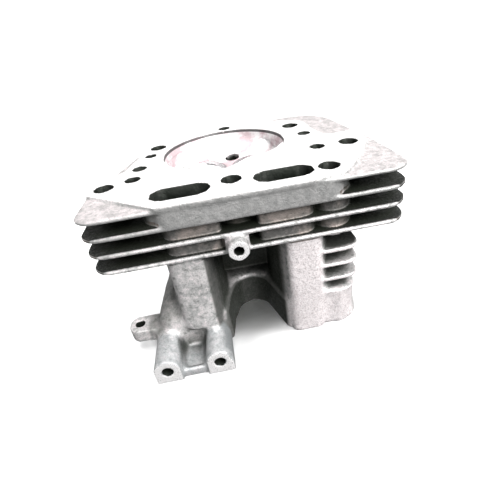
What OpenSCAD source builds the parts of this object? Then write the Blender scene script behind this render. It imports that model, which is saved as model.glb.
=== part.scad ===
// Air-cooled overhead-valve cylinder head of a small engine, with its valve gear.
// Millimetres. The origin is where the cylinder's bore axis meets the gasket face, +Z points
// out of that face towards the cylinder, X runs along the two pushrod slots and +Y points
// away from them. The open side of the rocker box is the lowest plane.

/* [Gasket face] */
// Radius of the combustion chamber at the gasket face
chamber_r = 37.5; // [37:0.5:38]
// Depth of the chamber roof
chamber_depth = 14; // [13.5:0.5:15]
// Distance of the pushrod slots and the front bolt row from the bore axis
slot_y = 59.2; // [58.5:0.1:60]
// Half the distance between the centres of the two slots
slot_x = 25.7; // [25:0.1:26.5]
// Length of each slot
slot_length = 29.6; // [28:0.2:30]
// Width of each slot
slot_width = 14; // [12:0.5:14.5]
// Radius of the five head-bolt holes and of the dowel hole
bolt_r = 5.1; // [4.5:0.1:5.5]

/* [Fins] */
// Number of full-width cooling fins
fin_count = 4; // [4:1:4]
// Distance from one fin to the next
fin_pitch = 9.3; // [9:0.1:9.5]
// Thickness of a fin
fin_thickness = 2; // [1.8:0.1:2.4]
// Depth of the first fin's upper face below the gasket face
fin_step = 1.6; // [1.2:0.1:2]

/* [Valves] */
// Half the distance between the two valve axes
valve_x = 19; // [18.6:0.1:19]
// Distance of the valve axes behind the bore axis
valve_y = 1; // [0:0.5:1]
// Radius of the intake valve's head
intake_r = 17; // [16:0.5:17]
// Radius of the exhaust valve's head
exhaust_r = 14; // [13.5:0.5:14]
// Radius of both valve stems
stem_r = 3.5; // [3:0.25:3.5]
// Full lift of each valve
valve_lift = 7.5; // [6:0.5:7.5]

/* [Rocker gear] */
// Distance of the rocker shaft in front of the bore axis
pivot_y = 26; // [26:0.5:26.5]
// Distance of the pushrod sockets in front of the bore axis
pushrod_y = 57; // [56:0.5:58]
// Half the distance between the two pushrods
pushrod_x = 29; // [28.5:0.5:29.5]
// Radius of the rocker shaft
shaft_r = 4; // [3.5:0.25:4]

/* [Rocker box] */
// Depth of the rocker-cover face below the gasket face
cover_depth = 96; // [96:0.5:98]
// Depth of the rocker box's roof on the outside
roof_depth = 73.5; // [73:0.5:74]
// Wall thickness of the rocker box
wall = 4; // [3.5:0.25:4.5]

/* [Hidden] */

$fn = 64;
cast_colour = [0.77, 0.77, 0.76];
steel_colour = [0.60, 0.61, 0.63];
dark_steel_colour = [0.36, 0.37, 0.39];
bronze_colour = [0.70, 0.56, 0.32];
spring_colour = [0.30, 0.31, 0.34];
seal_colour = [0.20, 0.33, 0.24];

eps = 0.02;              // gap between pieces fixed to each other
run_gap = 0.04;          // radial clearance of a running fit
lash = 0.1;              // gap between a rocker's pad and its stem
stack_z = -fin_step - (fin_count - 1) * fin_pitch - fin_thickness;  // underside of the last fin
seat_z = -chamber_depth; // face of the valve seats
port_z = -32;            // centre of both ports under the valves
spring_z = -52;          // floor of the spring pockets
tip_z = -84.5;           // ends of the valve stems
pad_r = 4;               // curvature of a rocker's pad
valve_arm = pivot_y + valve_y;
pushrod_arm = pushrod_y - pivot_y;
half_swing = asin(valve_lift / (2 * valve_arm));
pivot_z = tip_z - lash - pad_r + valve_arm * sin(half_swing);
cover_z = -cover_depth;
roof_z = -roof_depth;
cavity_z = roof_z - 3;   // ceiling of the rocker cavity away from the springs
pillar_foot_z = roof_z - 7;  // where the left pillar runs out over the bracket bosses
spring_length = 25;
washer_t = 1;
spring_top_z = spring_z - washer_t;
retainer_z = spring_top_z - spring_length;
plug_entry = [4.8, 17, -12.9];
plug_r = 4.7;
plug_tilt = 25;          // of the plug's axis from -Z towards +Y
plug_turn = -10;         // of the plug's axis about Z, towards +X
plug_reach = 13;         // from the entry to the seat of the plug's gasket
flange_x = 62;           // port faces, to the left and right
flange_y = 0;
flange_z = -44;
flange_reach = 17;       // of each flange screw from the port's centre
port_r = 11;
port_core_r = 11.6;      // of the cored passage behind the bored mouth
port_mouth = 26;         // depth of the bored mouth along the port
bowl_r = 13;
rim_depth = 1.2;         // of the straight wall round the chamber
bowl_mouth_r = chamber_r - 0.4;
bowl_power = 2.2;        // of the chamber's section: 2 is an ellipse, more is squarer
pocket_flare = 9;        // rise of the 45 degree slope round each valve seat
seat_ring = 1.9;         // reach of each seat ring past its valve head
seat_height = 7;
slot_depth = 10;
upper_wall_z = -fin_step - fin_pitch - fin_thickness;  // foot of the solid front wall

// ---------- outlines ----------
// Each outline is a list of [x, y, corner radius], anticlockwise seen from +Z.

fin_outline = [
    [-76.8, -73.3, 11], [86.6, -73.3, 12], [84, -24, 24], [74, 53, 27], [-45, 53, 25],
    [-56, 18, 24], [-76, -42, 16]
];
land_outline = [
    [-37, -73.9, 1], [36, -73.9, 6], [53.5, -70.6, 2], [61.3, -61.4, 2], [79, -33, 3],
    [82, -9, 5], [62, -11, 5], [58.5, 6, 12], [57.5, 32, 12], [22, 51, 22], [-16, 51, 22],
    [-53, 33, 14], [-54.5, 6, 14], [-60, -16, 8], [-75, -27, 6], [-75.2, -43.5, 2]
];
front_block_outline = [
    [-38, -73.5, 7], [52, -73.3, 9], [60, -30, 10], [40, 8, 10], [-40, 8, 10], [-52, -30, 10]
];
port_block_outline = [
    [-43, -27, 5], [43, -27, 5], [45, 8, 8], [36, 23, 10], [-36, 23, 10], [-45, 8, 8]
];
left_pillar_outline = [
    [-39.5, -72, 5], [-20.5, -72, 3], [-14.5, -50, 3], [-14.5, -24, 3], [-42, -24, 3],
    [-42, -60, 5]
];
right_tower_outline = [
    [22.5, -71.5, 4], [39.8, -71.5, 5], [45, -60, 5], [45, -24, 4], [16, -24, 3], [16, -50, 3]
];
short_fin_outline = [[36, -70.5, 2], [61.8, -70.5, 8], [62, -24, 5], [36, -24, 2]];
box_outline = [
    [-56.8, -67, 8], [-14.6, -67, 2], [-12, -51, 10], [-7.2, -39, 8], [2.6, -34.6, 7],
    [10.6, -40.4, 8], [19.6, -68.3, 5.5], [60.5, -68.3, 12], [63.4, -50, 8], [57.5, -36, 8],
    [57.5, -15, 10], [38, 10, 8], [38, 25, 9], [-38, 25, 9], [-38, 10, 8], [-52.5, -15, 10]
];
// The cover flange stands out from the box everywhere but in the notch between the two legs
notch_points = [1, 6];
flange_outline = [
    for (i = [0 : len(box_outline) - 1])
        i >= notch_points[0] && i <= notch_points[1] ? box_outline[i] : inset(box_outline, -1.3)[i]
];
left_shoulder_outline = [[-55.6, -64, 9], [-22, -66, 6], [-22, -22, 6], [-52.5, -22, 9]];
// Ledges of the chamber in front of the intake valve and in front of the exhaust valve
intake_ledge_outline = [
    [-45, -45, 1], [-2.5, -45, 1], [-2.5, -33, 2], [-8, -26, 6], [-17, -18.5, 6], [-29.3, -20, 4],
    [-45, -20, 1]
];
exhaust_ledge_outline = [
    [-0.5, -45, 1], [50, -45, 1], [50, -14, 1], [37, -4, 2], [30, -15, 6], [22, -21, 8],
    [11.6, -22.9, 7], [4.6, -30, 4], [-0.5, -33.5, 2]
];
// Wall round the pushrod tunnel between the lower fins, on the exhaust side
tunnel_wall_outline = [[9.2, -69.7, 3], [38.2, -69.7, 7], [40, -40, 5], [9.2, -40, 5]];
ear_outline = [[-75.4, -63.2, 6.4], [-50, -64.5, 1], [-50, -49.5, 1], [-75.4, -49.8, 6.4]];

// Head-bolt holes that go right through, and the depth of the face under each bolt
bolt_holes = [[-67, -37.2], [0, -55], [68.9, -29.5], [47.1, 22.2], [-42.8, 22.9]];
bolt_seat_z = stack_z - 3;
dowel_hole = [48.4, -59.7];
// Small holes in the gasket face: [x, y, radius, depth]
small_holes = [
    [3.4, 44.1, 4, 8], [-46.2, 7.1, 3.4, 14], [51, -0.2, 3.8, 1.4], [-50.8, -14.3, 4.1, 1.4],
    [51.2, -29.1, 4, 16], [-52.5, -31.1, 4.1, 16]
];
front_screws = [[-50, -60], [50, -60]];
back_screws = [[-31, 19.5], [31, 19.5]];
bracket_x = [-52.4, -23.5];
bracket_z = -88;
pedestal_x = [-38, 0, 38];
pedestal_w = 8;

// ---------- outline helpers ----------

function unit(v) = v / norm(v);
function flat(p) = [p[0], p[1]];
function spin(a, b) = a[0] * b[1] - a[1] * b[0];

// The points of one rounded corner at b, between a and c
function corner(a, b, c, r, steps) =
    let (
        u = unit(a - b),
        v = unit(c - b),
        half = acos(u * v) / 2,
        middle = b + unit(u + v) * r / sin(half),
        start = b + u * r / tan(half) - middle,
        end = b + v * r / tan(half) - middle,
        first = atan2(start[1], start[0]),
        sweep = (atan2(end[1], end[0]) - first + 540) % 360 - 180
    )
    [for (i = [0 : steps]) middle + r * [cos(first + sweep * i / steps), sin(first + sweep * i / steps)]];

function rounded(path, steps = 5) =
    let (n = len(path))
    [for (i = [0 : n - 1])
        each corner(flat(path[(i + n - 1) % n]), flat(path[i]), flat(path[(i + 1) % n]), path[i][2], steps)];

// The same outline moved inwards by d, or outwards where d is negative
function inset(path, d) =
    let (n = len(path))
    [for (i = [0 : n - 1])
        let (
            a = flat(path[(i + n - 1) % n]),
            b = flat(path[i]),
            c = flat(path[(i + 1) % n]),
            u = unit(a - b),
            v = unit(c - b),
            side = spin(b - a, c - b) > 0 ? 1 : -1,
            p = b + side * unit(u + v) * d / sin(acos(u * v) / 2)
        )
        [p[0], p[1], max(path[i][2] - side * d, 0.8)]];

module prism(path, low, high) {
    translate([0, 0, low])
        linear_extrude(high - low)
            polygon(rounded(path));
}

module post(p, r, low, high) {
    translate([p[0], p[1], low])
        cylinder(r = r, h = high - low);
}

// A round bar along Y
module bar_y(x, z, r, front, back) {
    translate([x, front, z])
        rotate([-90, 0, 0])
            cylinder(r = r, h = back - front);
}

// A round bar along X
module bar_x(y, z, r, left, right) {
    translate([left, y, z])
        rotate([0, 90, 0])
            cylinder(r = r, h = right - left);
}

module block(low, high) {
    translate(low)
        cube(high - low);
}

// Places its children on the plug's axis, with +Z pointing out of the head
module on_plug_axis() {
    translate(plug_entry)
        rotate([0, 0, plug_turn])
            rotate([180 + plug_tilt, 0, 0])
                children();
}

// Places its children at the start of a port, with +Z running out to its flange
module on_port_axis(side) {
    run = [side * (flange_x - valve_x), flange_y - valve_y, flange_z - port_z];
    translate([side * valve_x, valve_y, port_z])
        rotate([0, acos(run[2] / norm(run)), atan2(run[1], run[0])])
            children();
}

port_run = norm([flange_x - valve_x, flange_y - valve_y, flange_z - port_z]);

// ---------- head casting: outside ----------

module fins() {
    for (i = [0 : fin_count - 1]) {
        top = -fin_step - i * fin_pitch;
        prism(fin_outline, top - fin_thickness, top);
    }
}

module fin_core() {
    post([0, 0], 47, stack_z, -fin_step);
    prism(front_block_outline, upper_wall_z, -fin_step);
    block([-20, -52, stack_z], [20, -30, -fin_step]);
    for (side = [-1, 1]) {
        mirror([side < 0 ? 1 : 0, 0, 0])
            prism(tunnel_wall_outline, stack_z, -fin_step);
        slot_wall_ends(side);
    }
    for (p = concat(bolt_holes, [dowel_hole])) {
        post(p, 9.5, bolt_seat_z, -fin_step);
    }
}

// Round ends of the wall around one pushrod slot
module slot_wall_ends(side) {
    for (end = [-1, 1]) {
        post([side * slot_x + end * 8.5, -slot_y], 11.4, upper_wall_z, -fin_step);
    }
}

module front_boss() {
    bar_y(-2.6, -27, 5.4, -79.5, -56);
    block([-8.6, -72.6, stack_z], [3.6, -56, -fin_step - 2 * fin_pitch]);
}

module short_fins() {
    for (i = [0 : 3]) {
        top = -42.4 - i * 9.4;
        prism(short_fin_outline, top - fin_thickness, top);
    }
}

module rocker_box_outside() {
    prism(box_outline, cover_z, roof_z);
    prism(flange_outline, cover_z, cover_z + 4.5);
    hull() {
        prism(left_shoulder_outline, roof_z - 8, roof_z);
        prism(inset(left_shoulder_outline, 2.5), roof_z, roof_z + 5);
        prism(inset(left_shoulder_outline, 8), roof_z, roof_z + 9);
    }
    post([50.5, -62.2], 7.6, cover_z, roof_z);
}

module bracket_bosses() {
    for (x = bracket_x) {
        bar_y(x, bracket_z, 7.5, -90.5, -60);
        block([x - 7.5, -90.5, cover_z], [x + 7.5, -60, bracket_z]);
    }
    block([-59.9, -88.5, cover_z], [-16.5, -60, cover_z + 5]);
}

module ear() {
    prism(ear_outline, -88.5, -80);
}

module port_bodies() {
    prism(port_block_outline, roof_z - 4, stack_z + 1);
    for (side = [-1, 1]) {
        on_port_axis(side)
            cylinder(r = port_r + 3, h = port_run - 2);
        port_flange(side > 0 ? flange_x - 8 : -flange_x);
    }
}

// An oval flange, 8 thick, whose left face is at x
module port_flange(x) {
    hull() {
        bar_x(flange_y, flange_z, 15.5, x, x + 8);
        for (end = [-1, 1]) {
            bar_x(flange_y + end * flange_reach, flange_z, 7, x, x + 8);
        }
    }
}

module plug_boss() {
    on_plug_axis()
        cylinder(r = 12.5, h = 22);
}

// ---------- head casting: hollows ----------

module chamber_space() {
    difference() {
        union() {
            post([0, 0], chamber_r, -rim_depth, 1);
            chamber_bowl();
            intersection() {
                post([0, 0], bowl_mouth_r, seat_z, -rim_depth);
                union() {
                    valve_pocket(-1, intake_r);
                    valve_pocket(1, exhaust_r);
                }
            }
        }
        prism(intake_ledge_outline, -chamber_depth - 1, -rim_depth - 0.1);
        prism(exhaust_ledge_outline, -chamber_depth - 1, -rim_depth - 0.1);
    }
}

module chamber_bowl() {
    steps = 14;
    depth = chamber_depth - rim_depth;
    rotate_extrude()
        polygon(concat(
            [[0, 0], [0, -chamber_depth]],
            [for (i = [1 : steps])
                let (r = sin(90 * i / steps))
                [bowl_mouth_r * r, -rim_depth - depth * pow(1 - pow(r, bowl_power), 1 / bowl_power)]],
            [[bowl_mouth_r, 0]]
        ));
}

module valve_pocket(side, head_r) {
    translate([side * valve_x, valve_y, seat_z])
        cylinder(r1 = head_r + 1.4, r2 = head_r + 1.4 + pocket_flare, h = pocket_flare);
}

module port_space(side, head_r) {
    translate([side * valve_x, valve_y, 0]) {
        translate([0, 0, seat_z - seat_height])
            cylinder(r = head_r + seat_ring, h = seat_height + 1);
        translate([0, 0, port_z])
            cylinder(r = bowl_r, h = seat_z - 6 - port_z);
        translate([0, 0, port_z])
            sphere(r = bowl_r);
    }
    on_port_axis(side) {
        cylinder(r = port_core_r, h = port_run - port_mouth);
        cylinder(r = port_r, h = port_run + 12);
    }
}

module stem_bores(side) {
    p = [side * valve_x, valve_y];
    post(p, 6 + eps, spring_z - 1, port_z);
    post(p, 15.5, cavity_z - 4, spring_z);
}

module pushrod_space(side) {
    half_run = (slot_length - slot_width) / 2;
    for (end = [-1, 1]) {
        post([side * slot_x + end * half_run, -slot_y], slot_width / 2, -slot_depth, 1);
    }
    block([side * slot_x - half_run, -slot_y - slot_width / 2, -slot_depth],
        [side * slot_x + half_run, -slot_y + slot_width / 2, 1]);
    post([side * pushrod_x, -pushrod_y], 6.5, cavity_z - 3, -slot_depth + 1);
}

module rocker_cavity() {
    prism(inset(box_outline, wall), cover_z - 1, cavity_z);
}

// What stands inside the rocker cavity: screw columns and shaft pedestals
module cavity_pillars() {
    for (p = concat(front_screws, back_screws)) {
        post(p, 6.2, cover_z, cavity_z + 1);
    }
    for (x = pedestal_x) {
        block([x - pedestal_w / 2, -pivot_y - 6.5, pivot_z], [x + pedestal_w / 2, -pivot_y + 6.5, cavity_z + 1]);
    }
}

module bolt_spaces() {
    for (p = bolt_holes) {
        post(p, bolt_r, bolt_seat_z - 1, 1);
        post(p, 8, bolt_seat_z - 30, bolt_seat_z);
    }
    post(dowel_hole, bolt_r, -16, 1);
    for (h = small_holes) {
        post([h[0], h[1]], h[2], -h[3], 1);
    }
}

module screw_spaces() {
    for (p = concat(front_screws, back_screws)) {
        post(p, 2.5, cover_z - 1, cover_z + 14);
    }
    for (x = bracket_x) {
        bar_y(x, bracket_z, 3, -91.5, -72);
    }
    block([-43.5, -86, cover_z + 2.2], [-32.5, -67, cover_z + 6]);
    bar_y(-2.6, -27, 2.5, -80.5, -62);
    post([-69, -56.5], 2.75, -90, -79);
    for (x = pedestal_x) {
        post([x, -pivot_y], 2.5, pivot_z - 1, pivot_z + 10.5);
    }
    for (side = [-1, 1]) {
        for (end = [-1, 1]) {
            bar_x(flange_y + end * flange_reach, flange_z, side > 0 ? 3.4 : 2.5,
                side > 0 ? flange_x - 18 : -flange_x - 1, side > 0 ? flange_x + 1 : -flange_x + 18);
        }
    }
}

module plug_space() {
    on_plug_axis() {
        translate([0, 0, -7])
            cylinder(r = plug_r, h = plug_reach + 8);
        translate([0, 0, plug_reach])
            cylinder(r = 11, h = 60);
    }
}

module head_casting() {
    color(cast_colour)
    difference() {
        union() {
            difference() {
                union() {
                    prism(land_outline, -fin_step - 1, 0);
                    fins();
                    fin_core();
                    front_boss();
                    prism(left_pillar_outline, pillar_foot_z, stack_z + 1);
                    prism(right_tower_outline, cover_z, stack_z + 1);
                    short_fins();
                    rocker_box_outside();
                    bracket_bosses();
                    ear();
                    port_bodies();
                    plug_boss();
                }
                rocker_cavity();
            }
            cavity_pillars();
        }
        chamber_space();
        port_space(-1, intake_r);
        port_space(1, exhaust_r);
        for (side = [-1, 1]) {
            stem_bores(side);
            pushrod_space(side);
        }
        bolt_spaces();
        screw_spaces();
        plug_space();
        bar_x(-pivot_y, pivot_z, shaft_r + eps, -43, 43);
    }
}

// ---------- valves and their springs ----------

// A hardened ring pressed in under the chamber roof
module valve_seat(side, head_r) {
    color(dark_steel_colour)
    translate([side * valve_x, valve_y, seat_z])
        rotate_extrude()
            polygon([
                [head_r + seat_ring - eps, 0], [head_r + 0.14, 0], [head_r - 2.5, -2.64],
                [head_r - 2.5, -6.2], [head_r - 2, eps - seat_height],
                [head_r + seat_ring - eps, eps - seat_height]
            ]);
}

module valve_guide(side) {
    color(bronze_colour)
    translate([side * valve_x, valve_y, 0])
        rotate_extrude()
            polygon([
                [stem_r + run_gap, -39], [5, -39], [6, -41], [6, -62], [5.4, -63], [stem_r + run_gap, -63]
            ]);
}

module stem_seal(side) {
    color(seal_colour)
    translate([side * valve_x, valve_y, 0])
        rotate_extrude()
            polygon([
                [6 + eps, -57], [7.6, -57], [7.6, -63.5], [6.2, -65], [5.6, -66.5],
                [stem_r + run_gap, -66.5], [stem_r + run_gap, -63 - eps], [6 + eps, -63 - eps]
            ]);
}

// Head, tulip neck, stem and keeper groove, as one turned profile
module valve(side, head_r) {
    neck_r = head_r - 2.5 - stem_r;
    color(steel_colour)
    translate([side * valve_x, valve_y, 0])
        rotate_extrude()
            polygon(concat(
                [[0, seat_z + 0.6], [head_r - 5, seat_z + 0.6], [head_r - 4, seat_z + 1.4]],
                [[head_r - 0.3, seat_z + 1.4], [head_r, seat_z + 1.1], [head_r, seat_z]],
                [for (a = [0 : 10 : 90])
                    [stem_r + neck_r * (1 - sin(a)), seat_z - 2.5 - 13 * (1 - cos(a))]],
                [[stem_r, tip_z + 5.2], [stem_r - 0.6, tip_z + 5], [stem_r - 0.6, tip_z + 3.9]],
                [[stem_r, tip_z + 3.7], [stem_r, tip_z + 0.6], [stem_r - 0.6, tip_z], [0, tip_z]]
            ));
}

module spring_seat(side) {
    color(dark_steel_colour)
    translate([side * valve_x, valve_y, spring_top_z])
        difference() {
            cylinder(r = 14.5, h = washer_t - eps);
            translate([0, 0, -1])
                cylinder(r = 8.2, h = 4);
        }
}

// Wire centre of a valve spring at turn t: closed end turns, open turns between them
function spring_rise(t, turns, wire, length) =
    let (
        closed = 2 * wire + 0.3,
        open = (length - 2 * wire - 2 * closed) / (turns - 2)
    )
    t < 1 ? closed * t : t > turns - 1 ? closed + open * (turns - 2) + closed * (t - turns + 1) :
    closed + open * (t - 1);

// Round wire wound about Z from z = 0 to z = -length
module coil(mean_r, wire, turns, length, sides = 10, per_turn = 22) {
    n = round(turns * per_turn);
    ring = [for (i = [0 : n]) let (t = turns * i / n, a = 360 * t)
        [for (k = [0 : sides - 1]) let (b = 360 * k / sides)
            [(mean_r + wire * cos(b)) * cos(a), (mean_r + wire * cos(b)) * sin(a),
                -wire - spring_rise(t, turns, wire, length) + wire * sin(b)]]];
    polyhedron(
        points = [for (r = ring) each r],
        faces = concat(
            [[for (k = [0 : sides - 1]) k]],
            [for (i = [0 : n - 1], k = [0 : sides - 1])
                let (a = i * sides + k, b = i * sides + (k + 1) % sides)
                [a, a + sides, b + sides, b]],
            [[for (k = [sides - 1 : -1 : 0]) n * sides + k]]
        )
    );
}

module valve_spring(side) {
    color(spring_colour)
    translate([side * valve_x, valve_y, spring_top_z])
        coil(11.2, 1.4, 5.4, spring_length);
}

module spring_retainer(side) {
    color(steel_colour)
    translate([side * valve_x, valve_y, retainer_z])
        rotate_extrude()
            polygon([
                [4.4, 2.4], [8.6, 2.4], [9.3, 1.6], [9.3, -eps], [13.2, -eps], [13.2, -1.8], [12.6, -2.4],
                [8.4, -2.4], [7.4, -3.6], [5.5, -3.6]
            ]);
}

// The two half collets that lock a retainer to its stem
module valve_keepers(side) {
    color(dark_steel_colour)
    translate([side * valve_x, valve_y, retainer_z])
        difference() {
            rotate_extrude()
                polygon([
                    [stem_r + eps, 2.2], [4.38, 2.2], [5.46, -3.6], [5.46, -4.2], [stem_r + eps, -4.2]
                ]);
            block([-6, -0.4, -6], [6, 0.4, 4]);
        }
}

// ---------- rocker gear ----------

// Places its children on one rocker's pivot, turned to where the rocker rests
module at_rocker(side) {
    translate([0, -pivot_y, pivot_z])
        rotate([-half_swing, 0, 0])
            children();
}

// A side view in Y and Z, given its thickness along X
module across(x, width) {
    translate([x - width / 2, 0, 0])
        rotate([90, 0, 90])
            linear_extrude(width)
                children();
}

module rocker(side) {
    color(dark_steel_colour)
    at_rocker(side)
        difference() {
            union() {
                bar_x(0, 0, 7, side > 0 ? 15.5 : -33.3, side > 0 ? 33.3 : -15.5);
                across(side * valve_x, 7)
                    polygon([[-3, 6.3], [3, 6.4], [valve_arm - 3, 2.4], [valve_arm, 3.4],
                        [valve_arm, -3.4], [valve_arm - 5, -3.6], [4, -6]]);
                across(side * valve_x, 10)
                    translate([valve_arm, 0])
                        circle(r = pad_r);
                across(side * pushrod_x, 7)
                    polygon([[3, 6.3], [-4, 5.6], [-pushrod_arm, 4], [-pushrod_arm, -4], [-4, -5.6], [3, -6.3]]);
                post([side * pushrod_x, -pushrod_arm], 5.4, -4.5, 4.5);
            }
            bar_x(0, 0, shaft_r + run_gap, -40, 40);
            post([side * pushrod_x, -pushrod_arm], 3, -6, 6);
        }
}

// Screw with a cupped head that takes the pushrod's ball
module adjuster(side) {
    color(steel_colour)
    at_rocker(side)
        translate([side * pushrod_x, -pushrod_arm, 0])
            difference() {
                union() {
                    translate([0, 0, -11])
                        cylinder(r = 3 - eps, h = 16);
                    translate([0, 0, 4.5 + eps])
                        cylinder(r = 4.6, h = 4);
                }
                translate([0, 0, 9])
                    sphere(r = 3.2);
                block([-4, -0.5, -12], [4, 0.5, -9.6]);
            }
}

module adjuster_nut(side) {
    color(steel_colour)
    at_rocker(side)
        translate([side * pushrod_x, -pushrod_arm, -9])
            difference() {
                cylinder(r = 5.77, h = 4.5 - eps, $fn = 6);
                translate([0, 0, -1])
                    cylinder(r = 3, h = 7);
            }
}

module rocker_shaft() {
    color(steel_colour)
    difference() {
        bar_x(-pivot_y, pivot_z, shaft_r, -42.5, 42.5);
        for (x = pedestal_x) {
            post([x, -pivot_y], 2.6, pivot_z - 6, pivot_z + 6);
        }
        for (x = pedestal_x) {
            block([x - 4.2, -pivot_y - 5, pivot_z - 5], [x + 4.2, -pivot_y + 5, pivot_z - shaft_r + 0.8]);
        }
    }
}

// Three flanged screws that clamp the shaft to its pedestals
module shaft_screws() {
    head_z = pivot_z - shaft_r + 0.8 - eps;
    color(dark_steel_colour)
    for (x = pedestal_x) {
        post([x, -pivot_y], 2.5 - eps, head_z, pivot_z + 10);
        post([x, -pivot_y], 4, head_z - 1, head_z);
        translate([x, -pivot_y, head_z - 5])
            cylinder(r = 4.2, h = 4.5, $fn = 6);
    }
}

// Sleeve that keeps a rocker off the middle pedestal
module rocker_spacer(side) {
    color(steel_colour)
    difference() {
        bar_x(-pivot_y, pivot_z, 5.4, side > 0 ? 4.3 : -15.2, side > 0 ? 15.2 : -4.3);
        bar_x(-pivot_y, pivot_z, shaft_r + eps, -20, 20);
    }
}

module intake_valve_seat() { valve_seat(-1, intake_r); }
module exhaust_valve_seat() { valve_seat(1, exhaust_r); }
module intake_valve_guide() { valve_guide(-1); }
module exhaust_valve_guide() { valve_guide(1); }
module intake_stem_seal() { stem_seal(-1); }
module exhaust_stem_seal() { stem_seal(1); }
module intake_valve() { valve(-1, intake_r); }
module exhaust_valve() { valve(1, exhaust_r); }
module intake_spring_seat() { spring_seat(-1); }
module exhaust_spring_seat() { spring_seat(1); }
module intake_spring() { valve_spring(-1); }
module exhaust_spring() { valve_spring(1); }
module intake_retainer() { spring_retainer(-1); }
module exhaust_retainer() { spring_retainer(1); }
module intake_keepers() { valve_keepers(-1); }
module exhaust_keepers() { valve_keepers(1); }
module intake_rocker() { rocker(-1); }
module exhaust_rocker() { rocker(1); }
module intake_adjuster() { adjuster(-1); }
module exhaust_adjuster() { adjuster(1); }
module intake_adjuster_nut() { adjuster_nut(-1); }
module exhaust_adjuster_nut() { adjuster_nut(1); }
module intake_rocker_spacer() { rocker_spacer(-1); }
module exhaust_rocker_spacer() { rocker_spacer(1); }

head_casting();
intake_valve_seat();
exhaust_valve_seat();
intake_valve_guide();
exhaust_valve_guide();
intake_stem_seal();
exhaust_stem_seal();
intake_valve();
exhaust_valve();
intake_spring_seat();
exhaust_spring_seat();
intake_spring();
exhaust_spring();
intake_retainer();
exhaust_retainer();
intake_keepers();
exhaust_keepers();
rocker_shaft();
shaft_screws();
intake_rocker();
exhaust_rocker();
intake_adjuster();
exhaust_adjuster();
intake_adjuster_nut();
exhaust_adjuster_nut();
intake_rocker_spacer();
exhaust_rocker_spacer();
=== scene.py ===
import math

import bpy
import numpy as np
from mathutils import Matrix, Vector, noise
from mathutils.bvhtree import BVHTree


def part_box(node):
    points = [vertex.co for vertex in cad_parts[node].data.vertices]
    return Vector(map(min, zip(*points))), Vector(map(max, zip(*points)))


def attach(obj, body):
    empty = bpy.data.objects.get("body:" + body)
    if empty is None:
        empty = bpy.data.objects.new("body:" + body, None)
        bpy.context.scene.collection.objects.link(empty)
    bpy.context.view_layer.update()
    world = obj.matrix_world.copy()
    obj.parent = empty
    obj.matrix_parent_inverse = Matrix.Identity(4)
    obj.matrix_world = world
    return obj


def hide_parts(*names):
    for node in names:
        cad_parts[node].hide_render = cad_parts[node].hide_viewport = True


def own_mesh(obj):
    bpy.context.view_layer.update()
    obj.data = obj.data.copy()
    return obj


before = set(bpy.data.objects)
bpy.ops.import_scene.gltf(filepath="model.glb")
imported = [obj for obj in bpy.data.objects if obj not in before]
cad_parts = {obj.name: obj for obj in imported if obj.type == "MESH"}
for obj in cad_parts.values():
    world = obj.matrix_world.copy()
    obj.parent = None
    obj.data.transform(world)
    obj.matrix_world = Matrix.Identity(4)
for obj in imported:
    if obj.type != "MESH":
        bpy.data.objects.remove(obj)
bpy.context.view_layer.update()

MM = 0.001
SIDES = {"intake": -1, "exhaust": 1}
scene = bpy.context.scene

# ---------- places, in millimetres, as in the CAD source ----------

GASKET_Z, COVER_Z = 0.0, -96.0
FIN_BOTTOM_Z = -31.5            # underside of the full-width fins
ROOF_Z = -73.5                  # top of the rocker box
BOSS_FACE_Y = -79.5             # end of the middle boss
BRACKET_FACE_Y = -90.5          # ends of the two bracket bosses
FLANGE_X = 62.0                 # port faces
VALVE_X, VALVE_Y = 19.0, 1.0
PIVOT_Y = -26.0
CHAMBER_R = 37.5
SLOT_X, SLOT_Y = 25.7, -59.2    # middle of the right pushrod slot; the left one mirrors it
SLOT_LENGTH, SLOT_WIDTH = 29.6, 14.0
PLUG_X, PLUG_Y, PLUG_R = 4.8, 17.0, 4.7
EAR_X, EAR_Y, EAR_TOP_Z = -69.0, -56.5, -79.0

# x, y and radius of the round holes in the gasket face
DECK_HOLES = [(-67, -37.2, 5.1), (0, -55, 5.1), (68.9, -29.5, 5.1), (47.1, 22.2, 5.1),
              (-42.8, 22.9, 5.1), (48.4, -59.7, 5.1), (3.4, 44.1, 4.0), (-46.2, 7.1, 3.4),
              (51, -0.2, 3.8), (-50.8, -14.3, 4.1), (51.2, -29.1, 4.0), (-52.5, -31.1, 4.1)]
BOSS_HOLES = [(-52.4, -88), (-23.5, -88), (-2.6, -27)]         # x, z of the bores along Y

# ---------- how the casting and the springs are made ----------

VOXEL_MM = 0.75
SMOOTHING_STEPS = 60
TRIANGLES = 185000
FIN_FOOT_Z = FIN_BOTTOM_Z - 1.2     # everything above it counts as fins
NEAR_MM = 0.12                      # skin this close to a machined plane belongs to it
FACE_ON = 0.9                       # part of a unit normal, for a face that looks along an axis
OPEN_REACH_MM = 30                  # how far off metal still makes a place less open
WIRE_R_MM = 1.4

# ---------- mesh helpers ----------


def link(obj):
    scene.collection.objects.link(obj)
    return obj


def new_mesh(name, verts, faces, smooth=True):
    mesh = bpy.data.meshes.new(name)
    mesh.from_pydata([tuple(v) for v in verts], [], faces)
    mesh.validate()
    if smooth:
        mesh.polygons.foreach_set("use_smooth", [True] * len(mesh.polygons))
    return link(bpy.data.objects.new(name, mesh))


def vectors(items, key):
    """One vector of every vertex or face, as rows."""
    flat = np.empty(len(items) * 3, np.float32)
    items.foreach_get(key, flat)
    return flat.reshape(-1, 3).astype(float)


def set_places(mesh, places):
    """Moves a mesh's vertices to places, in millimetres."""
    mesh.vertices.foreach_set("co", (places * MM).astype(np.float32).ravel())
    mesh.update()


def edges(mesh):
    flat = np.empty(len(mesh.edges) * 2, np.int32)
    mesh.edges.foreach_get("vertices", flat)
    return flat.reshape(-1, 2)


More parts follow.
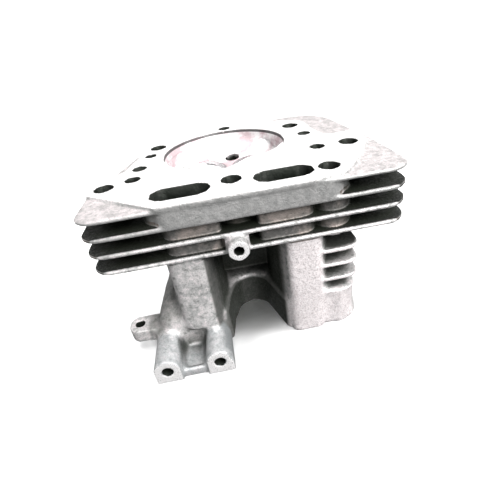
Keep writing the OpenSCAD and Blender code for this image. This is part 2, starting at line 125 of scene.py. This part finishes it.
def store(mesh, name, values, domain):
    attribute = mesh.attributes.new(name, "FLOAT", domain)
    attribute.data.foreach_set("value", values.astype(np.float32))


def apply_modifiers(obj):
    """Bakes an object's modifiers into its mesh."""
    graph = bpy.context.evaluated_depsgraph_get()
    baked = bpy.data.meshes.new_from_object(obj.evaluated_get(graph))
    obj.modifiers.clear()
    obj.data = baked


def neighbour_mean(values, pairs):
    """For each vertex the mean of the rows of values at the vertices it shares an edge with."""
    count = np.bincount(pairs.ravel(), minlength=len(values))
    total = np.empty_like(values)
    for column in range(values.shape[1]):
        total[:, column] = (np.bincount(pairs[:, 0], values[pairs[:, 1], column], len(values))
                            + np.bincount(pairs[:, 1], values[pairs[:, 0], column], len(values)))
    return total / count[:, None]


def ramp(value, low, high):
    """0 at low, 1 at high, smooth between them and level beyond; high may be the smaller."""
    t = np.clip((value - low) / (high - low), 0, 1)
    return t * t * (3 - 2 * t)


# ---------- the head casting ----------


def rounding(places):
    """How strongly the cast skin is rounded at each place: 0 on machined faces, 1 where nothing holds it."""
    x, y, z = places.T
    below_fins = z <= FIN_FOOT_Z
    regions = [
        (below_fins & (x > 41.5) & (z > ROOF_Z - 0.5), 0.07),                      # short fins
        ((z < ROOF_Z - 2) & ~((y < -58) & (x < -14)), 0.3),                        # box walls
        (below_fins & (np.abs(x) > 50) & (z > -63) & (np.abs(y) < 27), 0.15),      # port flanges
        (x < -61, 0.12),                                                           # the ear
        ((y > PIVOT_Y - 8) & (y < 22) & (np.abs(x) < 45) & (z < -50), 0.05),       # spring pockets
        ((y < -77) & (z > -40), 0.06),                                             # middle boss
        ((y > -45) & (y < 60) & (z > -52) & (np.abs(x) < 48), 0.07),               # chamber and ports
    ]
    share = np.where(below_fins, 1.0, 0.07)
    for inside, level in regions:
        share = np.where(inside, level, share)
    share *= 0.08 + 0.92 * ramp(y, BRACKET_FACE_Y + 0.5, BRACKET_FACE_Y + 3.5)
    share *= ramp(z, COVER_Z + 0.4, COVER_Z + 2.2)
    share *= 1 - ramp(z, GASKET_Z - 0.7, GASKET_Z - 0.2)

    near_face = z > GASKET_Z - 9
    for hole_x, hole_y, r in DECK_HOLES:
        share = np.where((np.hypot(x - hole_x, y - hole_y) < r + 0.6) & near_face, 0.0, share)
    for side in SIDES.values():
        along, across = np.abs(x - side * SLOT_X), np.abs(y - SLOT_Y)
        slot = (along < SLOT_LENGTH / 2 + 0.7) & (across < SLOT_WIDTH / 2 + 0.6)
        share = np.where(slot & near_face, 0.0, share)
    return np.where((np.hypot(x, y) < CHAMBER_R + 0.6) & (z > -1.9), 0.02, share)


def large_fillets(places):
    """Where the casting flows in wide curves: pillar into bracket bosses, foot of the tower, the notch."""
    x, y, z = places.T
    flare = (ramp(z, FIN_BOTTOM_Z - 6, FIN_BOTTOM_Z - 20) * ramp(-y, 55, 62)
             * ramp(-x, 13, 17) * ramp(x, -62, -57)
             * ramp(y, -84, -78) * ramp(z, COVER_Z + 0.4, COVER_Z + 3))
    foot = (ramp(z, ROOF_Z + 10, ROOF_Z + 5) * ramp(z, COVER_Z + 1, COVER_Z + 4)
            * ramp(-y, 58, 62) * ramp(x, 13, 17))
    notch = (ramp(z, FIN_BOTTOM_Z - 3, FIN_BOTTOM_Z - 8) * ramp(z, COVER_Z + 6, COVER_Z + 12)
             * ramp(-np.abs(x - 1), -20, -16) * ramp(-y, 27, 31))
    return np.maximum(0.9 * foot, np.maximum(flare, notch))


def cast_skin(places, normals, strength):
    """The slow, uneven swelling of a sand-cast surface, along its normals."""
    lumps = np.array([noise.noise(Vector(v) / 9.0) + 0.5 * noise.noise(Vector(v) / 3.5 + Vector((7, 3, 5)))
                      for v in places])
    return places + normals * (0.13 * lumps * strength)[:, None]


def remeshed_casting(source):
    """An even, fine mesh of the CAD casting, laid back onto it so that flats are flat and bores round."""
    obj = link(bpy.data.objects.new("casting", source.data.copy()))
    obj.data.materials.clear()
    obj.modifiers.new("weld", "WELD").merge_threshold = 1e-5
    remesh = obj.modifiers.new("remesh", "REMESH")
    remesh.mode = "VOXEL"
    remesh.voxel_size = VOXEL_MM * MM
    apply_modifiers(obj)
    snap = obj.modifiers.new("snap", "SHRINKWRAP")
    snap.target = source
    snap.wrap_method = "NEAREST_SURFACEPOINT"
    apply_modifiers(obj)
    return obj


def make_casting():
    obj = remeshed_casting(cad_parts["head_casting"])
    mesh = obj.data
    pairs = edges(mesh)
    places = vectors(mesh.vertices, "co") / MM
    share = 0.5 * np.maximum(0.4 * rounding(places), large_fillets(places))[:, None]
    for _ in range(SMOOTHING_STEPS):
        places += share * (neighbour_mean(places, pairs) - places)
    set_places(mesh, places)

    places = cast_skin(places, vectors(mesh.vertices, "normal"), np.clip(rounding(places) * 8, 0, 1))
    height = places[:, 2]
    height[height > GASKET_Z - NEAR_MM] = GASKET_Z
    height[height < COVER_Z + NEAR_MM] = COVER_Z
    set_places(mesh, places)

    thin = obj.modifiers.new("thin", "DECIMATE")
    thin.ratio = min(1.0, TRIANGLES / sum(len(p.vertices) - 2 for p in mesh.polygons))
    apply_modifiers(obj)
    mark_skin(obj.data)
    return obj


def machined_faces(centre, normal):
    """True for each face that a tool has cut: gasket face, cover face, ends of the bosses, port flanges."""
    x, y, z = centre.T
    top = (z > GASKET_Z - NEAR_MM) & (normal[:, 2] > FACE_ON)
    bottom = (z < COVER_Z + NEAR_MM) & (normal[:, 2] < -FACE_ON)
    boss_end = (y < BRACKET_FACE_Y + 0.2) | ((y < BOSS_FACE_Y + 0.2) & (z > -40))
    flange = (np.abs(x) > FLANGE_X - NEAR_MM) & (np.abs(y) < 27) & (z < -26)
    return (top | bottom | (boss_end & (normal[:, 1] < -FACE_ON))
            | (flange & (np.abs(normal[:, 0]) > FACE_ON)))


def hole_faces(centre, normal):
    """True for each face on the wall of a hole that can be looked into from outside."""
    x, y, z = centre.T
    below_face = z < GASKET_Z - NEAR_MM
    found = np.zeros(len(x), bool)
    for hole_x, hole_y, r in DECK_HOLES:
        found |= (np.hypot(x - hole_x, y - hole_y) < r + 0.4) & below_face & (z > -40)
    straight = (SLOT_LENGTH - SLOT_WIDTH) / 2 + 1.2
    for side in SIDES.values():
        run = np.clip(np.abs(x - side * SLOT_X) - straight, 0, None)
        found |= (np.hypot(run, y - SLOT_Y) < SLOT_WIDTH / 2 + 0.6) & below_face & (z > -12.5)
    for hole_x, hole_z in BOSS_HOLES:
        found |= (np.hypot(x - hole_x, z - hole_z) < 3.3) & (np.abs(normal[:, 1]) < 0.5) & (y < -63)
    found |= (np.hypot(x - PLUG_X, y - PLUG_Y) < PLUG_R + 0.7) & (z < -13.6) & (z > -40)
    found |= (np.hypot(x - EAR_X, y - EAR_Y) < 3.8) & (z < EAR_TOP_Z) & (np.abs(normal[:, 2]) < 0.5)
    return found


def openness(mesh):
    """For each vertex the share of the space over it that is free of metal, within reach."""
    tree = BVHTree.FromPolygons([v.co for v in mesh.vertices], [p.vertices[:] for p in mesh.polygons])
    golden_angle = math.pi * (3 - math.sqrt(5))
    rays = 16
    directions = []
    for i in range(rays):
        up = math.sqrt(1 - (i + 0.5) / rays)
        out = math.sqrt(1 - up * up)
        directions.append((out * math.cos(i * golden_angle), out * math.sin(i * golden_angle), up))
    free = np.zeros(len(mesh.vertices))
    for i, vertex in enumerate(mesh.vertices):
        normal = vertex.normal
        start = vertex.co + normal * (0.4 * MM)
        side = normal.orthogonal().normalized()
        other = normal.cross(side)
        hits = sum(tree.ray_cast(start, side * a + other * b + normal * c, OPEN_REACH_MM * MM)[0] is not None
                   for a, b, c in directions)
        free[i] = 1 - hits / rays
    return free


def mark_skin(mesh):
    """Keeps values on the skin: where a tool has cut it, where it is inside a hole, and how open it lies; the
    material paints shade from the last two.
    """
    centre, normal = vectors(mesh.polygons, "center") / MM, vectors(mesh.polygons, "normal")
    cut = machined_faces(centre, normal)
    store(mesh, "machined", cut.astype(float), "FACE")
    store(mesh, "hole", (hole_faces(centre, normal) & ~cut).astype(float), "FACE")
    pairs = edges(mesh)
    free = openness(mesh)[:, None]
    for _ in range(3):
        free = 0.4 * free + 0.6 * neighbour_mean(free, pairs)
    store(mesh, "open", free[:, 0], "POINT")
    mesh.polygons.foreach_set("use_smooth", ~cut)
    mesh.update()


# ---------- materials ----------


class Nodes:
    """Builds one material's nodes with short calls."""

    def __init__(self, name):
        self.mat = bpy.data.materials.new(name)
        self.mat.use_nodes = True
        self.tree = self.mat.node_tree
        self.shader = self.tree.nodes["Principled BSDF"]
        texture = self.add("ShaderNodeTexCoord")
        self.place = texture.outputs["Object"]
        self.split = self.add("ShaderNodeSeparateXYZ")
        self.wire(self.place, self.split.inputs["Vector"])
        self.facing = self.add("ShaderNodeSeparateXYZ")
        self.wire(texture.outputs["Normal"], self.facing.inputs["Vector"])

    def add(self, kind, **values):
        node = self.tree.nodes.new(kind)
        for key, value in values.items():
            setattr(node, key, value)
        return node

    def wire(self, out, socket):
        self.tree.links.new(out, socket)

    def attribute(self, name):
        return self.add("ShaderNodeAttribute", attribute_name=name).outputs["Fac"]

    # --- patterns ---

    def moved(self, centre=(0, 0, 0), scale=(1, 1, 1), turn=(0, 0, 0)):
        """The object's own coordinates, seen from another centre, stretched and turned."""
        node = self.add("ShaderNodeMapping", vector_type="TEXTURE")
        node.inputs["Location"].default_value = centre
        node.inputs["Rotation"].default_value = turn
        node.inputs["Scale"].default_value = scale
        self.wire(self.place, node.inputs["Vector"])
        return node.outputs["Vector"]

    def noise(self, size_mm, detail, rough, vector=None):
        """Noise whose lumps are about size_mm across."""
        node = self.add("ShaderNodeTexNoise")
        node.inputs["Scale"].default_value = 1 / (size_mm * MM)
        node.inputs["Detail"].default_value = detail
        node.inputs["Roughness"].default_value = rough
        self.wire(vector or self.place, node.inputs["Vector"])
        return node.outputs["Fac"]

    def cells(self, size_mm):
        node = self.add("ShaderNodeTexVoronoi")
        node.inputs["Scale"].default_value = 1 / (size_mm * MM)
        self.wire(self.place, node.inputs["Vector"])
        return node.outputs["Distance"]

    def rings(self, size_mm, centre, direction):
        """Turning marks about an axis through centre; the texture's own rings are pi / 10 apart."""
        node = self.add("ShaderNodeTexWave", wave_type="RINGS", rings_direction=direction)
        node.inputs["Scale"].default_value = math.pi / 10 / (size_mm * MM)
        node.inputs["Distortion"].default_value = 0.4
        node.inputs["Detail"].default_value = 2.0
        self.wire(self.moved(centre), node.inputs["Vector"])
        return node.outputs["Fac"]

    # --- sums ---

    def curve(self, value, low, high, to_low=0.0, to_high=1.0):
        node = self.add("ShaderNodeMapRange", interpolation_type="SMOOTHSTEP")
        for key, number in zip(("From Min", "From Max", "To Min", "To Max"), (low, high, to_low, to_high)):
            node.inputs[key].default_value = number
        self.wire(value, node.inputs["Value"])
        return node.outputs["Result"]

    def math(self, operation, a, b=0):
        node = self.add("ShaderNodeMath", operation=operation)
        for socket, value in zip(node.inputs, (a, b)):
            if isinstance(value, (int, float)):
                socket.default_value = value
            else:
                self.wire(value, socket)
        return node.outputs["Value"]

    def product(self, first, *others):
        for other in others:
            first = self.math("MULTIPLY", first, other)
        return first

    def mix(self, share, a, b):
        node = self.add("ShaderNodeMix", data_type="RGBA")
        for socket, value in ((node.inputs[0], share), (node.inputs[6], a), (node.inputs[7], b)):
            if isinstance(value, tuple):
                socket.default_value = (*value, 1)
            else:
                self.wire(value, socket)
        return node.outputs[2]

    # --- places on the object ---

    def within(self, soft, **limits):
        """1 inside a box given in mm by X=(low, high) and so on, fading out over soft mm."""
        share = 1.0
        for axis, (low, high) in limits.items():
            value = self.split.outputs[axis]
            share = self.product(share, self.curve(value, (low - soft) * MM, low * MM),
                                 self.curve(value, (high + soft) * MM, high * MM))
        return share

    def towards(self, axis, low, high):
        """How far the surface looks along an axis: 0 where that part of its normal is low, 1 where high."""
        return self.curve(self.facing.outputs[axis], low, high)

    def either_way(self, axis, low, high):
        """The same for a surface that looks along the axis or against it."""
        return self.curve(self.math("ABSOLUTE", self.facing.outputs[axis]), low, high)

    def radius(self):
        """Distance from the bore axis."""
        flat = self.add("ShaderNodeVectorMath", operation="MULTIPLY")
        flat.inputs[1].default_value = (1, 1, 0)
        self.wire(self.place, flat.inputs[0])
        length = self.add("ShaderNodeVectorMath", operation="LENGTH")
        self.wire(flat.outputs["Vector"], length.inputs[0])
        return length.outputs["Value"]

    # --- into the shader ---

    def bump(self, layers):
        """Adds bumps, each (height, depth in mm), one on top of the other."""
        last = None
        for height, depth_mm in layers:
            node = self.add("ShaderNodeBump")
            node.inputs["Strength"].default_value = 1.0
            node.inputs["Distance"].default_value = depth_mm * MM
            self.wire(height, node.inputs["Height"])
            if last:
                self.wire(last, node.inputs["Normal"])
            last = node.outputs["Normal"]
        self.wire(last, self.shader.inputs["Normal"])

    def finish(self, colour, roughness, metallic):
        self.wire(colour, self.shader.inputs["Base Color"])
        self.wire(roughness, self.shader.inputs["Roughness"])
        self.shader.inputs["Metallic"].default_value = metallic
        return self.mat


def outside_light_and_shade(m, gap, gap_flats, recess, blotch, patch):
    """The painted light, shade and reflection on each outer region, as (where and how much, colour), in the
    order they are laid on.
    """
    to_front = m.towards("Y", -0.35, -0.75)
    to_top = m.towards("Z", 0.5, 0.9)
    mottle = m.curve(patch, 0.35, 0.65)
    front_wall = m.within(0.6, Z=(-13.3, 5), Y=(-90, -62))
    tower = m.within(1.5, Z=(-96, -32), X=(15, 75))
    fin_corners = m.within(1.0, Z=(-9, 0))
    between_legs = m.within(3.0, X=(-21, 18), Y=(-85, -20), Z=(-97, -33))
    left_wall = m.within(3.0, X=(-62, -43), Z=(-84, -33), Y=(-65, 30))
    brackets = m.within(2.5, X=(-62, -14), Y=(-91, -70), Z=(-97, -81))
    return [
        # painted shade: a darker tone on the front-facing wall under the gasket face
        (m.product(front_wall, to_front), m.mix(mottle, (0.30, 0.305, 0.30), (0.40, 0.40, 0.395))),
        # painted light: a bright, speckled tone on the front-facing faces of the tower
        (m.product(tower, to_front, 0.9),
         m.mix(m.curve(m.noise(1.3, 4, 0.7), 0.36, 0.56), (0.76, 0.70, 0.70), (0.97, 0.92, 0.925))),
        # painted light: a mottled tone of its own on the upward faces in the top band of fins
        (m.product(fin_corners, to_top, 0.75), m.mix(mottle, (0.36, 0.34, 0.34), (0.56, 0.515, 0.52))),
        # painted shade: near black on the side faces between the legs
        (m.product(between_legs, m.either_way("X", 0.35, 0.75), 0.85), (0.055, 0.06, 0.052)),
        # painted shade: near black in the recess and on the notch wall between the legs
        (m.product(recess, 0.92), (0.028, 0.033, 0.026)),
        # painted shade: almost black on the flat faces between the fins
        (m.product(gap_flats, 0.97), (0.006, 0.008, 0.006)),
        # painted shade on the front-facing faces between the fins, broken by lighter brown patches
        (m.product(gap, to_front, 0.8),
         m.mix(m.curve(blotch, 0.4, 0.62), (0.03, 0.028, 0.022), (0.17, 0.135, 0.11))),
        # painted shade: a dark tone on the left wall of the rocker box
        (m.product(left_wall, 0.6), (0.13, 0.132, 0.12)),
        # painted reflection: a cool bluish tone on the bracket bosses
        (m.product(brackets, 0.55), (0.43, 0.46, 0.475)),
    ]


def chamber_tones(m, opened, blotch):
    """The tones inside the chamber, its ledges and its rim, laid on in this order: a light tone that is
    partly painted light, the ledge tops, and painted shade on an arc, the rim wall and the steep walls.
    """
    out = m.radius()
    chamber = m.product(m.within(0.2, X=(-38, 38), Y=(-38, 38), Z=(-20, -0.3)),
                        m.curve(out, 37.9 * MM, 37.7 * MM))
    ledge_top = m.product(m.within(0.1, Z=(-1.5, -0.3)), m.towards("Z", 0.5, 0.9))
    # a thin arc on the near-left ledge where shade is painted
    shade_arc = m.product(m.within(0.15, X=(-36, -3), Y=(-37, -10), Z=(-1.5, -0.3)),
                     m.curve(out, 32.3 * MM, 32.6 * MM), m.curve(out, 33.6 * MM, 33.3 * MM))
    # the short wall round the chamber's rim, where a shadow is painted
    rim_shadow = m.product(m.curve(out, 36.7 * MM, 36.9 * MM), m.within(0.2, Z=(-1.7, 1)), m.towards("Z", 0.85, 0.6))
    step_shade = m.product(m.either_way("Z", 0.55, 0.3), m.within(0.5, X=(-29, 29), Y=(-38, -6), Z=(-13.8, -1.2)))
    return [
        # partly painted light: the chamber's light tone with pink patches is set well above the skin so its
        # shaded bowl reads bright
        (m.product(chamber, m.curve(opened, 0.15, 0.4)),
         m.mix(m.curve(blotch, 0.40, 0.58), (0.80, 0.79, 0.79), (0.52, 0.42, 0.44))),
        (m.product(chamber, ledge_top), (0.92, 0.91, 0.91)),
        # painted shade: a thin dark arc on the near-left ledge
        (m.product(shade_arc, 0.85), (0.14, 0.145, 0.14)),
        # painted shadow: a thin dark line on the rim wall
        (m.product(chamber, rim_shadow, 0.9), (0.03, 0.03, 0.03)),
        # painted shade on the steep walls in the near part of the chamber
        (m.product(chamber, step_shade, 0.8), (0.12, 0.125, 0.12)),
    ]


def cast_aluminium():
    """Bare sand-cast metal, bright where a tool has cut it, with painted light and shade laid on its regions
    and painted shade in its gaps, recesses and holes.
    """
    m = Nodes("cast_aluminium")
    machined, hole, opened = m.attribute("machined"), m.attribute("hole"), m.attribute("open")
    blotch, patch, grain = m.noise(12, 4, 0.6), m.noise(3.0, 4, 0.65), m.noise(0.8, 3, 0.7)
    speck = m.cells(1.2)
    # Where shade is painted: the gaps between the fins, their flat faces, and the recess and notch between
    # the legs.
    gap = m.within(0.4, Z=(-33, -9), X=(-86, 96), Y=(-71.6, 60))
    gap_flats = m.product(gap, m.either_way("Z", 0.6, 0.85))
    recess = m.math("MAXIMUM", m.within(2.5, X=(-16, 18), Y=(-68, -20), Z=(-72, -32)),
                    m.within(2.0, X=(-15, 19), Y=(-64, -30), Z=(-97, -77)))

    skin = m.mix(m.curve(blotch, 0.35, 0.66), (0.43, 0.435, 0.43), (0.62, 0.61, 0.605))
    skin = m.mix(m.curve(patch, 0.50, 0.64, 0, 0.8), skin, (0.74, 0.69, 0.695))
    skin = m.mix(m.curve(patch, 0.47, 0.34, 0, 0.65), skin, (0.17, 0.175, 0.165))
    scratch = m.noise(1.0, 1, 0.5, m.moved(scale=(0.25, 9, 9), turn=(0.3, 0.9, 0.4)))
    skin = m.mix(m.curve(scratch, 0.70, 0.76, 0, 0.55), skin, (0.88, 0.85, 0.85))
    for share, tone in outside_light_and_shade(m, gap, gap_flats, recess, blotch, patch):
        skin = m.mix(share, skin, tone)
    skin = m.mix(m.curve(grain, 0.52, 0.36, 0, 0.4), skin, (0.16, 0.16, 0.155))
    skin = m.mix(m.curve(speck, 0.24, 0.05, 0, 0.4), skin, (0.14, 0.135, 0.13))
    # painted shade: the less open a place lies, the darker it is laid, down to near black
    skin = m.mix(m.curve(opened, 0.60, 0.22, 0, 0.94), skin, (0.022, 0.026, 0.019))
    for share, tone in chamber_tones(m, opened, blotch):
        skin = m.mix(share, skin, tone)
    # painted shade: the walls of holes that can be looked into are laid near black
    skin = m.mix(m.product(hole, 0.97), skin, (0.012, 0.015, 0.012))

    milled = m.noise(0.9, 3, 0.5, m.moved(scale=(0.4, 12, 1), turn=(0, 0, 0.5)))
    face = m.mix(m.curve(milled, 0.35, 0.7), (0.86, 0.855, 0.85), (0.92, 0.915, 0.91))
    as_cast = m.math("SUBTRACT", 1.0, machined)
    rough_skin = m.curve(m.noise(2.2, 4, 0.6), 0.3, 0.7, 0.40, 0.62)
    rough_face = m.curve(milled, 0.3, 0.7, 0.26, 0.36)
    roughness = m.math("ADD", m.product(rough_skin, as_cast), m.product(rough_face, machined))
    m.bump([
        (m.product(m.noise(2.6, 3, 0.6), as_cast), 0.32),
        (m.product(grain, as_cast), 0.2),
        (m.product(m.curve(speck, 0.0, 0.35), as_cast), 0.08),
    ])
    # The specular level is turned down where shade is painted: the fin gaps, the recess and the holes.
    dark = m.math("MAXIMUM", gap_flats, m.math("MAXIMUM", recess, hole))
    m.wire(m.curve(dark, 0.0, 1.0, 0.3, 0.02), m.shader.inputs["Specular IOR Level"])
    return m.finish(m.mix(machined, skin, face), roughness, 0.5)


def worked_metal(name, dark, light, rough, centre, ring_mm, direction):
    """Turned or ground metal with fine rings round centre, given in metres."""
    m = Nodes(name)
    rings = m.rings(ring_mm, centre, direction)
    haze = m.noise(5, 4, 0.6)
    scratch = m.noise(0.5, 2, 0.6, m.moved(centre, (1, 1, 0.12)))
    colour = m.mix(m.curve(haze, 0.35, 0.65), dark, light)
    colour = m.mix(m.product(rings, 0.22), colour, tuple(0.6 * c for c in dark))
    colour = m.mix(m.curve(scratch, 0.6, 0.75, 0, 0.3), colour, tuple(min(1.0, 1.2 * c) for c in light))
    roughness = m.curve(haze, 0.3, 0.7, rough - 0.06, rough + 0.1)
    m.bump([(rings, 0.006), (scratch, 0.01)])
    return m.finish(colour, roughness, 1.0)


def grained(name, dark, light, rough, size_mm, depth_mm, metallic):
    """A surface with an all-over grain: forged, plated or moulded."""
    m = Nodes(name)
    grain, wide = m.noise(size_mm, 4, 0.65), m.noise(size_mm * 9, 3, 0.55)
    colour = m.mix(m.curve(grain, 0.35, 0.68), dark, light)
    colour = m.mix(m.curve(wide, 0.5, 0.7, 0, 0.35), colour, tuple(0.7 * c for c in dark))
    m.bump([(wide, depth_mm), (grain, 0.5 * depth_mm)])
    return m.finish(colour, m.curve(grain, 0.3, 0.7, rough - 0.08, rough + 0.1), metallic)


# ---------- the other CAD parts ----------


def paint(obj, material):
    obj.data.materials.clear()
    obj.data.materials.append(material)


def dress(name, material, edge_mm):
    """Paints a CAD part and breaks its sharp edges, as a deburred part has them."""
    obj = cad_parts[name]
    paint(obj, material)
    obj.modifiers.new("weld", "WELD").merge_threshold = 1e-5
    bevel = obj.modifiers.new("edges", "BEVEL")
    bevel.width = edge_mm * MM
    bevel.segments = 2
    bevel.limit_method = "ANGLE"
    bevel.angle_limit = math.radians(35)
    bevel.harden_normals = False


def centre_of(node):
    low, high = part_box(node)
    return tuple((low + high) / 2)


def dress_cad_parts():
    iron = grained("rocker_iron", (0.17, 0.17, 0.175), (0.30, 0.30, 0.305), 0.5, 0.7, 0.08, 0.9)
    rubber = grained("seal_rubber", (0.02, 0.06, 0.035), (0.04, 0.10, 0.06), 0.55, 0.6, 0.03, 0.0)
    zinc = grained("zinc_plate", (0.46, 0.45, 0.38), (0.68, 0.66, 0.56), 0.32, 1.6, 0.015, 1.0)
    # dark tone, light tone, roughness, distance of the turning marks in mm, and their axis
    worked = {
        "valve_seat": ((0.30, 0.30, 0.31), (0.46, 0.46, 0.47), 0.28, 0.4, "Z"),
        "valve_guide": ((0.42, 0.27, 0.11), (0.62, 0.43, 0.20), 0.34, 0.5, "Z"),
        "valve": ((0.42, 0.42, 0.43), (0.66, 0.66, 0.67), 0.26, 0.7, "Z"),
        "spring_seat": ((0.26, 0.26, 0.28), (0.40, 0.40, 0.42), 0.36, 0.6, "Z"),
        "retainer": ((0.22, 0.22, 0.24), (0.42, 0.42, 0.44), 0.32, 0.5, "Z"),
        "keepers": ((0.16, 0.16, 0.18), (0.32, 0.32, 0.34), 0.34, 0.4, "Z"),
        "adjuster": ((0.30, 0.30, 0.32), (0.55, 0.55, 0.57), 0.30, 0.5, "Z"),
        "rocker_spacer": ((0.34, 0.34, 0.35), (0.52, 0.52, 0.53), 0.30, 0.5, "X"),
    }
    plain = {"stem_seal": (rubber, 0.2), "rocker": (iron, 0.5), "adjuster_nut": (zinc, 0.3)}
    for side in SIDES:
        for part, (dark, light, rough, ring_mm, axis) in worked.items():
            name = f"{side}_{part}"
            metal = worked_metal(f"{name}_metal", dark, light, rough, centre_of(name), ring_mm, axis)
            dress(name, metal, 0.15)
        for part, (material, edge_mm) in plain.items():
            dress(f"{side}_{part}", material, edge_mm)
    steel = worked_metal("shaft_metal", (0.40, 0.40, 0.41), (0.62, 0.62, 0.63), 0.22,
                         centre_of("rocker_shaft"), 0.4, "X")
    dress("rocker_shaft", steel, 0.2)
    dress("shaft_screws", zinc, 0.3)


# ---------- valve springs ----------


def coil_spring(side, material):
    """A wound spring with closed, ground ends, in the box of its CAD solid."""
    low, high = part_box(f"{side}_spring")
    length, wire = high.z - low.z, WIRE_R_MM * MM
    mean_r = (high.x - low.x) / 2 - wire
    turns, around, per_turn = 5.4, 14, 40
    closed = 2 * wire + 0.3 * MM                                    # pitch of the first and last turn
    opened = (length - 2 * wire - 2 * closed) / (turns - 2)         # pitch of the turns between
    ground, ground_turns = 0.35 * wire, 0.75
    inset = 0.02 * MM
    centre = Vector((SIDES[side] * VALVE_X * MM, VALVE_Y * MM, 0))
    steps = round(turns * per_turn)
    verts, faces = [], []
    for i in range(steps + 1):
        t = turns * i / steps
        drop = closed * min(t, 1) + opened * min(max(t - 1, 0), turns - 2) + closed * max(t - turns + 1, 0)
        a = 2 * math.pi * t
        for k in range(around):
            b = 2 * math.pi * k / around
            r = mean_r + wire * math.cos(b)
            z = high.z - wire - drop + wire * math.sin(b)
            z = min(max(z, low.z + inset), high.z - inset)
            if t < ground_turns:
                z = min(z, high.z - ground * (ground_turns - t))
            if t > turns - ground_turns:
                z = max(z, low.z + ground * (t - turns + ground_turns))
            verts.append(centre + Vector((r * math.cos(a), r * math.sin(a), z)))
    for i in range(steps):
        for k in range(around):
            a, b = i * around + k, i * around + (k + 1) % around
            faces.append((a, a + around, b + around, b))
    faces.append(tuple(range(around)))
    faces.append(tuple(reversed(range(steps * around, (steps + 1) * around))))

    spring = new_mesh(f"{side}_valve_spring", verts, faces)
    paint(spring, material)
    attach(spring, "head")
    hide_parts(f"{side}_spring")
    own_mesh(spring)


# ---------- floor, light and camera ----------


def make_floor():
    """A wide white floor just under the casting, which sends no light back onto the metal."""
    half = 60.0
    floor = new_mesh("floor", [(-half, -half, 0), (half, -half, 0), (half, half, 0), (-half, half, 0)],
                     [(0, 1, 2, 3)], smooth=False)
    floor.location.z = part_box("head_casting")[0].z - 0.05 * MM
    material = bpy.data.materials.new("floor_white")
    material.use_nodes = True
    shader = material.node_tree.nodes["Principled BSDF"]
    shader.inputs["Base Color"].default_value = (0.92, 0.92, 0.92, 1)
    shader.inputs["Roughness"].default_value = 0.9
    paint(floor, material)
    floor.visible_diffuse = floor.visible_glossy = False
    return floor


def aimed(light, direction):
    """Turns a light so that it shines along a direction."""
    light.rotation_mode = "QUATERNION"
    light.rotation_quaternion = Vector(direction).to_track_quat("-Z", "Y")


def round_lamp(name, place, target, size, power, colour=(1, 1, 1)):
    """A round area light at a place, aimed at a target, in metres."""
    data = bpy.data.lights.new(name, "AREA")
    data.shape, data.size, data.energy, data.color = "DISK", size, power, colour
    lamp = link(bpy.data.objects.new(name, data))
    lamp.location = place
    aimed(lamp, Vector(target) - lamp.location)
    return lamp


def collected(name, objects):
    group = bpy.data.collections.new(name)
    for obj in objects:
        group.objects.link(obj)
    return group


def make_lights(floor):
    """A wide soft key from above, a fill for the object alone, and two lamps for the floor alone."""
    key = bpy.data.lights.new("key", "SUN")
    key.energy, key.angle, key.color = 3.7, math.radians(60), (1.0, 0.992, 0.985)
    aimed(link(bpy.data.objects.new("key", key)), (-0.1, -0.12, -1.0))
    pieces = [obj for obj in scene.objects if obj.type == "MESH" and obj != floor]
    fill = round_lamp("fill", (0.75, -1.05, 1.1), (0, -0.05, -0.05), 0.9, 58, (1.0, 0.98, 0.98))
    fill.light_linking.receiver_collection = collected("lit_by_fill", pieces)
    ground = collected("lit_by_sides", [floor])
    for x in (-1.5, 1.5):
        side = round_lamp("side", (x, -0.25, 0.9), (0, -0.05, -0.1), 0.8, 32)
        side.light_linking.receiver_collection = ground


def make_world():
    """A dim room with a bright band from the horizon up, by the height of the direction looked in."""
    world = bpy.data.worlds.new("studio")
    scene.world = world
    world.use_nodes = True
    tree = world.node_tree
    back = tree.nodes["Background"]
    place = tree.nodes.new("ShaderNodeTexCoord")
    split = tree.nodes.new("ShaderNodeSeparateXYZ")
    height = tree.nodes.new("ShaderNodeMapRange")
    height.inputs["From Min"].default_value = -1.0
    band = tree.nodes.new("ShaderNodeValToRGB")
    stops = band.color_ramp.elements
    stops[0].position, stops[0].color = 0.485, (0.22, 0.222, 0.225, 1)
    stops[1].position, stops[1].color = 0.74, (0.14, 0.142, 0.145, 1)
    for position in (0.495, 0.62):
        stops.new(position).color = (1.1, 1.1, 1.1, 1)
    tree.links.new(place.outputs["Generated"], split.inputs["Vector"])
    tree.links.new(split.outputs["Z"], height.inputs["Value"])
    tree.links.new(height.outputs["Result"], band.inputs["Fac"])
    tree.links.new(band.outputs["Color"], back.inputs["Color"])
    back.inputs["Strength"].default_value = 1.0


def make_camera():
    """Close in front of the head, a little to the left of the bore axis, looking down on it."""
    data = bpy.data.cameras.new("camera")
    data.sensor_width, data.lens = 36, 25.92
    data.clip_start = 0.01
    camera = link(bpy.data.objects.new("camera", data))
    camera.location = Vector((-3.643, -224.093, 66.576)) * MM
    camera.rotation_euler = [math.radians(angle) for angle in (56.706, 7.697, -7.498)]
    scene.camera = camera
    scene.view_settings.view_transform = "Standard"
    scene.view_settings.look = "None"


# ---------- the scene ----------

casting = make_casting()
paint(casting, cast_aluminium())
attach(casting, "head")
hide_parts("head_casting")
dress_cad_parts()
spring_wire = grained("spring_wire", (0.10, 0.105, 0.12), (0.24, 0.245, 0.27), 0.38, 0.5, 0.03, 1.0)
for name in SIDES:
    coil_spring(name, spring_wire)
make_lights(make_floor())
make_world()
make_camera()
